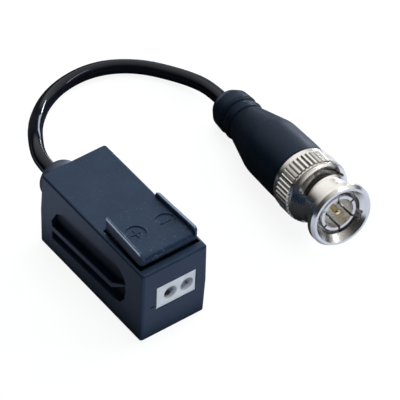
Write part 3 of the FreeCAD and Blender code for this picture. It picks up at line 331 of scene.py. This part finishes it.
def knurl_painted_shade(tree):
    """A share of painted shade, most at the foot of the knurl's grooves and none on its crests.
    """
    place = in_plug_frame(tree)
    flat = {0: place, 1: (1.0, 1.0, 0.0)}
    outward = add(tree, "VectorMath", flat, operation="MULTIPLY").outputs["Vector"]
    low = spread(tree, length_of(tree, outward), KNURL_FOOT, KNURL_CREST, KNURL_PAINTED_SHADE_SHARE, 0.0)
    past = away_from(tree, axes_of(tree, place)["Z"], KNURL_MIDDLE)
    inside = spread(tree, past, *KNURL_ENDS, 1.0, 0.0)
    return reckon(tree, "MULTIPLY", low, inside)


# Plastics of the box, the button, the boot and the gland

CASE_BLACK = (0.0075, 0.0145, 0.028)
BLUISH = (0.46, 0.65, 1.0, 1.0)
SHADE = 0.86
LIGHT = 1.12
SLOW_GRAIN = 6.0
SPECK_GRAIN = 1.4
SPECK_NOISE = (0.63, 0.72)
SPECK_GAIN = 2.6
SPECK_LIFT = 0.03


def moulded(name, colour, grain, relief, specks, edge, rough, specular, other=None, gleam=None):
    """Moulded plastic: fine spark-eroded texture, pale specks and slow changes of colour.

    The other share, from 0 to 1, paints shade or a highlight, with the colour and the roughness
    where it is 1.
    Where gleam is given, it is the specular level there.
    """
    item, tree, surface = material(name, Specular_IOR_Level=specular, Specular_Tint=BLUISH)
    place = object_place(tree)
    fine = noise(tree, place, grain, detail=3.0, roughness=0.6)
    slow = spread(tree, noise(tree, place, SLOW_GRAIN), 0.35, 0.65)
    base = blend(tree, slow, toned(colour, SHADE), toned(colour, LIGHT))
    speck = spread(tree, noise(tree, place, grain * SPECK_GRAIN), *SPECK_NOISE, 0.0, specks)
    base = blend(tree, speck, base, tuple(SPECK_GAIN * part + SPECK_LIFT for part in colour))
    roughness = spread(tree, fine, 0.3, 0.7, *rough)
    # The other share paints shade or a highlight into the colour.
    if other:
        share, tone, dullness = other
        part = share(tree)
        base = blend(tree, part, base, tone)
        roughness = blend_value(tree, part, roughness, dullness)
        if gleam is not None:
            put(tree, surface, Specular_IOR_Level=blend_value(tree, part, specular, gleam))
    normal = bump(tree, fine, depth=relief, strength=0.5, edge=edge)
    put(tree, surface, Base_Color=base, Roughness=roughness, Normal=normal)
    return item


case_plastic = moulded(
    "case_plastic",
    colour=CASE_BLACK,
    grain=0.3,
    relief=0.04,
    specks=0.3,
    edge=0.1,
    rough=(0.4, 0.5),
    specular=0.5,
    # Painted shade in the grip recesses: a darker colour, and a low specular level.
    other=(recess_painted_shade, (0.0035, 0.0075, 0.016), 0.4),
    gleam=0.06,
)
button_plastic = moulded(
    "button_plastic",
    colour=CASE_BLACK,
    grain=0.4,
    relief=0.08,
    specks=1.0,
    edge=0.1,
    rough=(0.38, 0.5),
    specular=0.5,
    # A painted highlight, pale, along the rims' outer top edges.
    other=(crest_painted_highlight, (0.17, 0.20, 0.26), 0.3),
)
boot_vinyl = moulded(
    "boot_vinyl",
    colour=(0.003, 0.006, 0.0115),
    grain=0.4,
    relief=0.03,
    specks=0.2,
    edge=0.1,
    rough=(0.36, 0.44),
    specular=0.3,
    # Painted shade in the two grooves round the boot's tail.
    other=(boot_groove_painted_shade, (0.001, 0.001, 0.002), 0.9),
)
gland_vinyl = moulded(
    "gland_vinyl",
    colour=(0.03, 0.034, 0.046),
    grain=0.5,
    relief=0.01,
    specks=0.1,
    edge=0.2,
    rough=(0.42, 0.5),
    specular=0.9,
)
dress(case_plastic, "upper_shell", "lower_shell")
dress(button_plastic, "press_button")
dress(boot_vinyl, "plug_boot")
dress(gland_vinyl, "cable_gland")


def cable_jacket():
    """Glossy extruded vinyl with faint lumps and slow changes of gloss."""
    item, tree, surface = material("cable_jacket", Specular_IOR_Level=0.28)
    place = object_place(tree)
    slow = noise(tree, place, 3.0, detail=3.0)
    fine = noise(tree, place, 0.4)
    put(
        tree,
        surface,
        Base_Color=blend(tree, slow, (0.002, 0.003, 0.006), (0.004, 0.005, 0.009)),
        Roughness=spread(tree, slow, 0.3, 0.7, 0.07, 0.12),
        Normal=bump(tree, fine, depth=0.01, strength=0.3, edge=0.1),
    )
    return item


dress(cable_jacket(), pigtail)

# Metals of the plug

PAINTED_GROOVE_SHADE = (0.1, 0.1, 0.11)


def plated(name, colour, rough, grooves=False):
    """Bright plate with turning marks round the plug's axis and slight tarnish."""
    item, tree, surface = material(name, Metallic=1.0)
    turned = stretched(tree, in_plug_frame(tree), (0.3, 0.3, 12.0))
    marks = noise(tree, turned, 0.8, detail=3.0, roughness=0.6)
    tarnish = noise(tree, object_place(tree), 2.2, detail=4.0, roughness=0.6)
    base = blend(tree, spread(tree, tarnish, 0.35, 0.75), colour, toned(colour, SHADE))
    # With grooves, shade is painted grey at the foot of the knurl's grooves.
    if grooves:
        base = blend(tree, knurl_painted_shade(tree), base, PAINTED_GROOVE_SHADE)
    put(
        tree,
        surface,
        Base_Color=base,
        Roughness=spread(tree, marks, 0.25, 0.75, *rough),
        Normal=bump(tree, marks, depth=0.002, strength=0.12, edge=0.02),
    )
    return item


dress(plated("nickel_plate", (0.80, 0.77, 0.73), (0.24, 0.32)), "plug_body", "crimp_ferrule")
# The coupling nut's knurl gets painted shade in its grooves.
dress(plated("knurled_nickel", (0.82, 0.79, 0.74), (0.22, 0.3), grooves=True), "coupling_nut")
dress(plated("spring_steel", (0.6, 0.6, 0.6), (0.2, 0.35)), "spring_washer", "retaining_ring")
dress(plated("gilt_brass", (1.0, 0.80, 0.47), (0.12, 0.2)), "centre_pin")

# Small plastic, rubber and ceramic pieces


def smooth_plastic(name, colour, shade, rough, scatter=0.0):
    """Smooth moulded plastic with a faint waviness and slow changes of tone."""
    item, tree, surface = material(name, Roughness=rough)
    if scatter:
        surface.inputs["Subsurface Weight"].default_value = scatter
        surface.inputs["Subsurface Radius"].default_value = (1.0, 1.0, 1.0)
        surface.inputs["Subsurface Scale"].default_value = 2.0 * MM
    place = object_place(tree)
    slow = noise(tree, place, 1.8, detail=3.0)
    fine = noise(tree, place, 0.25)
    put(
        tree,
        surface,
        Base_Color=blend(tree, spread(tree, slow, 0.35, 0.7), colour, shade),
        Normal=bump(tree, fine, depth=0.01, strength=0.3, edge=0.08),
    )
    return item


white_nylon = smooth_plastic(
    "white_nylon", (0.83, 0.89, 1.0), (0.77, 0.83, 0.94), rough=0.35, scatter=0.6
)
dress(white_nylon, "terminal_block")
for node, name, colour, shade, rough in (
    ("dielectric", "white_insulator", (0.92, 0.90, 0.87), (0.84, 0.82, 0.79), 0.4),
    ("face_gasket", "seal_rubber", (0.02, 0.02, 0.02), (0.03, 0.03, 0.03), 0.6),
    ("toroid_core", "ferrite", (0.03, 0.03, 0.032), (0.05, 0.05, 0.05), 0.5),
    ("surge_suppressor", "epoxy", (0.03, 0.05, 0.16), (0.02, 0.03, 0.1), 0.25),
    ("core_lead", "core_insulation", (0.7, 0.69, 0.64), (0.6, 0.6, 0.55), 0.4),
    ("shield_lead", "shield_sleeve", (0.02, 0.02, 0.02), (0.04, 0.04, 0.04), 0.4),
):
    dress(smooth_plastic(name, colour, shade, rough), node)


def sheet_metal(name, colour, dull, rough, metallic=1.0):
    """Rolled strip or drawn wire with fine marks drawn out along Y."""
    item, tree, surface = material(name, Metallic=metallic)
    drawn = stretched(tree, object_place(tree), (8.0, 1.0, 1.0))
    marks = noise(tree, drawn, 0.6, detail=3.0)
    put(
        tree,
        surface,
        Base_Color=blend(tree, spread(tree, marks, 0.3, 0.7), colour, dull),
        Roughness=spread(tree, marks, 0.3, 0.7, *rough),
        Normal=bump(tree, marks, depth=0.004, strength=0.3, edge=0.05),
    )
    return item


copper = sheet_metal("copper_strip", (0.42, 0.27, 0.23), (0.24, 0.15, 0.13), (0.25, 0.4))
tin = sheet_metal("tinned_strip", (0.82, 0.83, 0.86), (0.7, 0.71, 0.75), (0.45, 0.6), 0.2)
wire = sheet_metal("enamelled_wire", (0.55, 0.2, 0.07), (0.4, 0.12, 0.04), (0.2, 0.3))
dress(copper, "wire_contact_left", "clamp_spring_left")
dress(tin, "wire_contact_right", "clamp_spring_right")
dress(wire, "line_winding", "coax_winding")


def board_laminate():
    """Green solder mask with paler tracks under it."""
    item, tree, surface = material("board_laminate", Roughness=0.3)
    place = object_place(tree)
    sockets = {"Vector": place, "Scale": 300.0}
    cells = add(tree, "TexVoronoi", sockets, feature="DISTANCE_TO_EDGE").outputs["Distance"]
    track = spread(tree, cells, 0.08, 0.12, 1.0, 0.0)
    weave = noise(tree, place, 0.3)
    put(
        tree,
        surface,
        Base_Color=blend(tree, track, (0.01, 0.09, 0.035), (0.03, 0.2, 0.06)),
        Normal=bump(tree, weave, depth=0.01, strength=0.3, edge=0.05),
    )
    return item


dress(board_laminate(), "circuit_board")

CHIP_PITCH = 2.6 * MM
CHIP_ENDS = (0.52 * MM, 0.56 * MM)
CAPACITOR_PLACE = -4.3 * MM
RESISTOR_PLACE = 1.7 * MM
TINNED = (0.7, 0.7, 0.7)


def chip_ceramic(name, colour, first):
    """Ceramic chips whose ends are tinned: metal where X is far from a chip's middle."""
    item, tree, surface = material(name, Roughness=0.35)
    place = object_place(tree)
    off = away_from(tree, axes_of(tree, place)["X"], first)
    off = reckon(tree, "PINGPONG", off, CHIP_PITCH / 2)
    end = spread(tree, off, *CHIP_ENDS)
    grain = noise(tree, place, 0.2)
    body = blend(tree, grain, colour, toned(colour, 0.8))
    put(
        tree,
        surface,
        Base_Color=blend(tree, end, body, TINNED),
        Metallic=end,
        Normal=bump(tree, grain, depth=0.006, strength=0.3, edge=0.05),
    )
    return item


capacitors = chip_ceramic("capacitor_ceramic", (0.4, 0.27, 0.15), CAPACITOR_PLACE)
resistors = chip_ceramic("resistor_ceramic", (0.02, 0.02, 0.025), RESISTOR_PLACE)
dress(capacitors, "matching_capacitors")
dress(resistors, "matching_resistors")

# Marks on the button: a raised plus and minus in their sunken discs. A bar's sizes are in
# millimetres. Its foot flares out and sinks into the disc, and its top edge is bevelled.

BUTTON_FLOOR = BUTTON_TOP - 1.25 * MM
MARK_REACH = 1.2
MARK_HALF = 0.17
MARK_HEIGHT = 0.17
MARK_SINK = 0.02
MARK_FLARE = 0.06
MARK_BEVEL = 0.05


def bar_loop(reach, half, steps=6):
    """The outline of a bar along X with round ends, in millimetres."""
    corners = []
    for side, start in ((1, -90.0), (-1, 90.0)):
        for step in range(steps + 1):
            angle = math.radians(start + 180.0 * step / steps)
            along = side * (reach - half) + half * math.cos(angle)
            corners.append((along, half * math.sin(angle)))
    return corners


def mark(name, middle, turns):
    """Bars with sloping sides, crossed if there are two turns, as a piece on the button."""
    levels = (
        (MARK_FLARE, -MARK_SINK),
        (0.0, MARK_HEIGHT - MARK_FLARE),
        (-MARK_BEVEL, MARK_HEIGHT),
    )
    corners = []
    faces = []
    for turn in turns:
        spin = Matrix.Rotation(math.radians(turn), 3, "Z")
        rings = []
        for grow, height in levels:
            ring = []
            for x, y in bar_loop(MARK_REACH + grow, MARK_HALF + grow):
                ring.append(len(corners))
                corners.append(spin @ Vector((x, y, height)) * MM)
            rings.append(ring)
        for low, high in zip(rings, rings[1:]):
            count = len(low)
            for index in range(count):
                following = (index + 1) % count
                faces.append((low[index], low[following], high[following], high[index]))
        faces.append(tuple(rings[-1]))
    mesh = bpy.data.meshes.new(name)
    mesh.from_pydata([corner + middle for corner in corners], [], faces)
    piece = new_object(name, mesh)
    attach(piece, "button")
    dress(button_plastic, piece)


mark("plus_mark", Vector((-3.4 * MM, -8.7 * MM, BUTTON_FLOOR)), (0.0, 90.0))
mark("minus_mark", Vector((3.5 * MM, -9.2 * MM, BUTTON_FLOOR)), (0.0,))

# Floor and surroundings: white to the camera, and dim with pools of painted light on the floor to
# mirrors and glass.
# Each pool's level fades between the two places, distances or angles given for it.

FLOOR_SIZE = 6.0
FLOOR_SEEN = 0.88
FLOOR_GREY = (0.15, 0.15, 0.15)
FLOOR_GREY_MIRRORED = (0.04, 0.04, 0.04)
COOL_WHITE = (0.84, 0.94, 1.18)
WHITE = (1.0, 1.0, 1.0)

# Pools of painted light on the floor, seen only in mirrors.
LEFT_PAINTED_POOL = point(-22.0, 28.0, 0.0)
LEFT_PAINTED_POOL_SIDES = (6.0 * MM, 14.5 * MM)
LEFT_PAINTED_POOL_ENDS = (6.0 * MM, 26.0 * MM)
LEFT_PAINTED_POOL_LEVEL = 0.85
LEFT_PAINTED_POOL_END_SHARE = 0.4
FRONT_PAINTED_POOL_EDGE = (-22.0 * MM, -17.0 * MM)
FRONT_PAINTED_POOL_LEVEL = 0.78
OPEN_FLOOR_LEVEL = 0.9
OPEN_FLOOR_RIGHT = (46.0 * MM, 60.0 * MM)
OPEN_FLOOR_AWAY = (150.0 * MM, 400.0 * MM)
OPEN_FLOOR_BACK = (20.0 * MM, 35.0 * MM)
STREAK_MIDDLE = 31.0 * MM
STREAK_TURN = 0.6
STREAK_SIDES = (0.07, 0.12)
STREAK_START = (38.0 * MM, 44.0 * MM)
STREAK_LEVEL = 4.0

BACKDROP_SIDE = (0.42, 0.52, 0.74)
BACKDROP_FADE = (0.2, 0.9)
BACKDROP_FOOT = (0.2, 0.42)
BACKDROP_LEVEL = 1.2
DIM_LEVEL = 0.04
AMBIENT_LEVEL = 0.06


def mirror_share(tree):
    """1 for rays from a mirror or glass, and 0 for the rest."""
    path = add(tree, "LightPath").outputs
    return reckon(tree, "MAXIMUM", path["Is Glossy Ray"], path["Is Transmission Ray"])


def camera_share(tree):
    """1 for rays straight from the camera, and 0 for the rest."""
    return add(tree, "LightPath").outputs["Is Camera Ray"]


def seen_level(tree, mirrored, direct, bounced):
    """A level for rays from the camera, one for rays from a mirror or glass, one for the rest."""
    level = blend_value(tree, mirror_share(tree), bounced, mirrored)
    return blend_value(tree, camera_share(tree), level, direct)


def left_painted_light(tree, along):
    """Painted light on the floor left of the box, brightest beyond the box's rear, and dark next
    to the box as its painted shadow.
    """
    sideways = away_from(tree, along["X"], LEFT_PAINTED_POOL.x)
    lengthwise = away_from(tree, along["Y"], LEFT_PAINTED_POOL.y)
    across = spread(tree, sideways, *LEFT_PAINTED_POOL_SIDES, LEFT_PAINTED_POOL_LEVEL, 0.0)
    share = spread(tree, lengthwise, *LEFT_PAINTED_POOL_ENDS, 1.0, LEFT_PAINTED_POOL_END_SHARE)
    return reckon(tree, "MULTIPLY", across, share)


def open_floor(tree, along, place):
    """Painted light on the floor right of the plug and far from the object, but not behind it."""
    right = spread(tree, along["X"], *OPEN_FLOOR_RIGHT, 0.0, OPEN_FLOOR_LEVEL)
    away = spread(tree, length_of(tree, place), *OPEN_FLOOR_AWAY, 0.0, OPEN_FLOOR_LEVEL)
    before = spread(tree, along["Y"], *OPEN_FLOOR_BACK, 1.0, 0.0)
    return reckon(tree, "MULTIPLY", reckon(tree, "MAXIMUM", right, away), before)


def streak(tree, along):
    """A narrow bright strip of painted light on the floor that runs out slantwise from behind the
    plug.
    """
    forth = reckon(tree, "SUBTRACT", along["Y"], STREAK_MIDDLE)
    turn = reckon(tree, "ARCTAN2", forth, along["X"])
    across = spread(tree, away_from(tree, turn, STREAK_TURN), *STREAK_SIDES, STREAK_LEVEL, 0.0)
    return reckon(tree, "MULTIPLY", across, spread(tree, along["X"], *STREAK_START))


def floor_painted_light(tree):
    """The floor's level in mirrors: pools of painted light about the object, and dark between
    them and next to it as its painted shadow.
    """
    place = object_place(tree)
    along = axes_of(tree, place)
    # In front of the box, painted light far off and painted shade near it.
    level = spread(tree, along["Y"], *FRONT_PAINTED_POOL_EDGE, FRONT_PAINTED_POOL_LEVEL, 0.0)
    for painted_pool in (left_painted_light(tree, along), open_floor(tree, along, place), streak(tree, along)):
        level = reckon(tree, "MAXIMUM", level, painted_pool)
    return level


def backdrop(tree):
    """The surroundings' level in mirrors: a pale backdrop behind and above, dim elsewhere."""
    direction = add(tree, "TexCoord").outputs["Generated"]
    sockets = {0: direction, 1: BACKDROP_SIDE}
    facing = add(tree, "VectorMath", sockets, operation="DOT_PRODUCT").outputs["Value"]
    behind = spread(tree, facing, *BACKDROP_FADE, DIM_LEVEL, BACKDROP_LEVEL)
    high = spread(tree, axes_of(tree, direction)["Z"], *BACKDROP_FOOT, DIM_LEVEL)
    return reckon(tree, "MULTIPLY", behind, high)


def lay_floor():
    """A white floor that keeps the object's shadow."""
    bpy.ops.mesh.primitive_plane_add(size=FLOOR_SIZE, location=(0, 0, 0))
    floor = bpy.context.object
    floor.name = "floor"
    item, tree, surface = material("floor_white", Roughness=0.9, Specular_IOR_Level=0.0)
    put(
        tree,
        surface,
        Base_Color=blend(tree, mirror_share(tree), FLOOR_GREY, FLOOR_GREY_MIRRORED),
        Emission_Color=blend(tree, camera_share(tree), COOL_WHITE, WHITE),
        Emission_Strength=seen_level(tree, floor_painted_light(tree), FLOOR_SEEN, 0.0),
    )
    dress(item, floor)


def surround():
    """White surroundings that light the object a little."""
    world = bpy.data.worlds.new("studio")
    world.use_nodes = True
    bpy.context.scene.world = world
    tree = world.node_tree
    background = tree.nodes["Background"]
    background.inputs["Color"].default_value = (*WHITE, 1.0)
    strength = seen_level(tree, backdrop(tree), 1.0, AMBIENT_LEVEL)
    tree.links.new(strength, background.inputs["Strength"])


lay_floor()
surround()

# Lamps

LAMP_WHITE = (0.92, 0.97, 1.0)
BESIDE_BOX = (0.02, 0.01, 0.0)


def softbox(name, place, aim, width, height, power, mirrored=False):
    """A rectangular lamp at a place in metres, facing a point."""
    lamp = bpy.data.lights.new(name, "AREA")
    lamp.shape = "RECTANGLE"
    lamp.size = width
    lamp.size_y = height
    lamp.energy = power
    lamp.color = LAMP_WHITE
    item = new_object(name, lamp)
    item.location = place
    item.visible_camera = False
    item.visible_glossy = mirrored
    item.rotation_euler = (Vector(aim) - Vector(place)).to_track_quat("-Z", "Y").to_euler()


softbox("top", (0.1, 0.1, 0.7), BESIDE_BOX, 0.5, 0.5, 2.9)
softbox("right", (0.68, 0.08, 0.28), BESIDE_BOX, 0.35, 0.35, 7.0)
softbox("front", (-0.02, -0.76, 0.24), BESIDE_BOX, 0.8, 0.35, 3.7)
softbox("rear", (0.36, 0.66, 0.36), (0.02, 0.01, 0.01), 0.35, 0.2, 1.6)
softbox("window", (0.71, 0.38, 0.17), (0.01, 0.04, 0.0), 0.06, 0.32, 1.8, mirrored=True)
softbox("strip", (0.46, -0.26, 0.6), (0.02, 0.05, 0.0), 0.06, 0.5, 0.8, mirrored=True)

bpy.context.scene.view_settings.view_transform = "Standard"
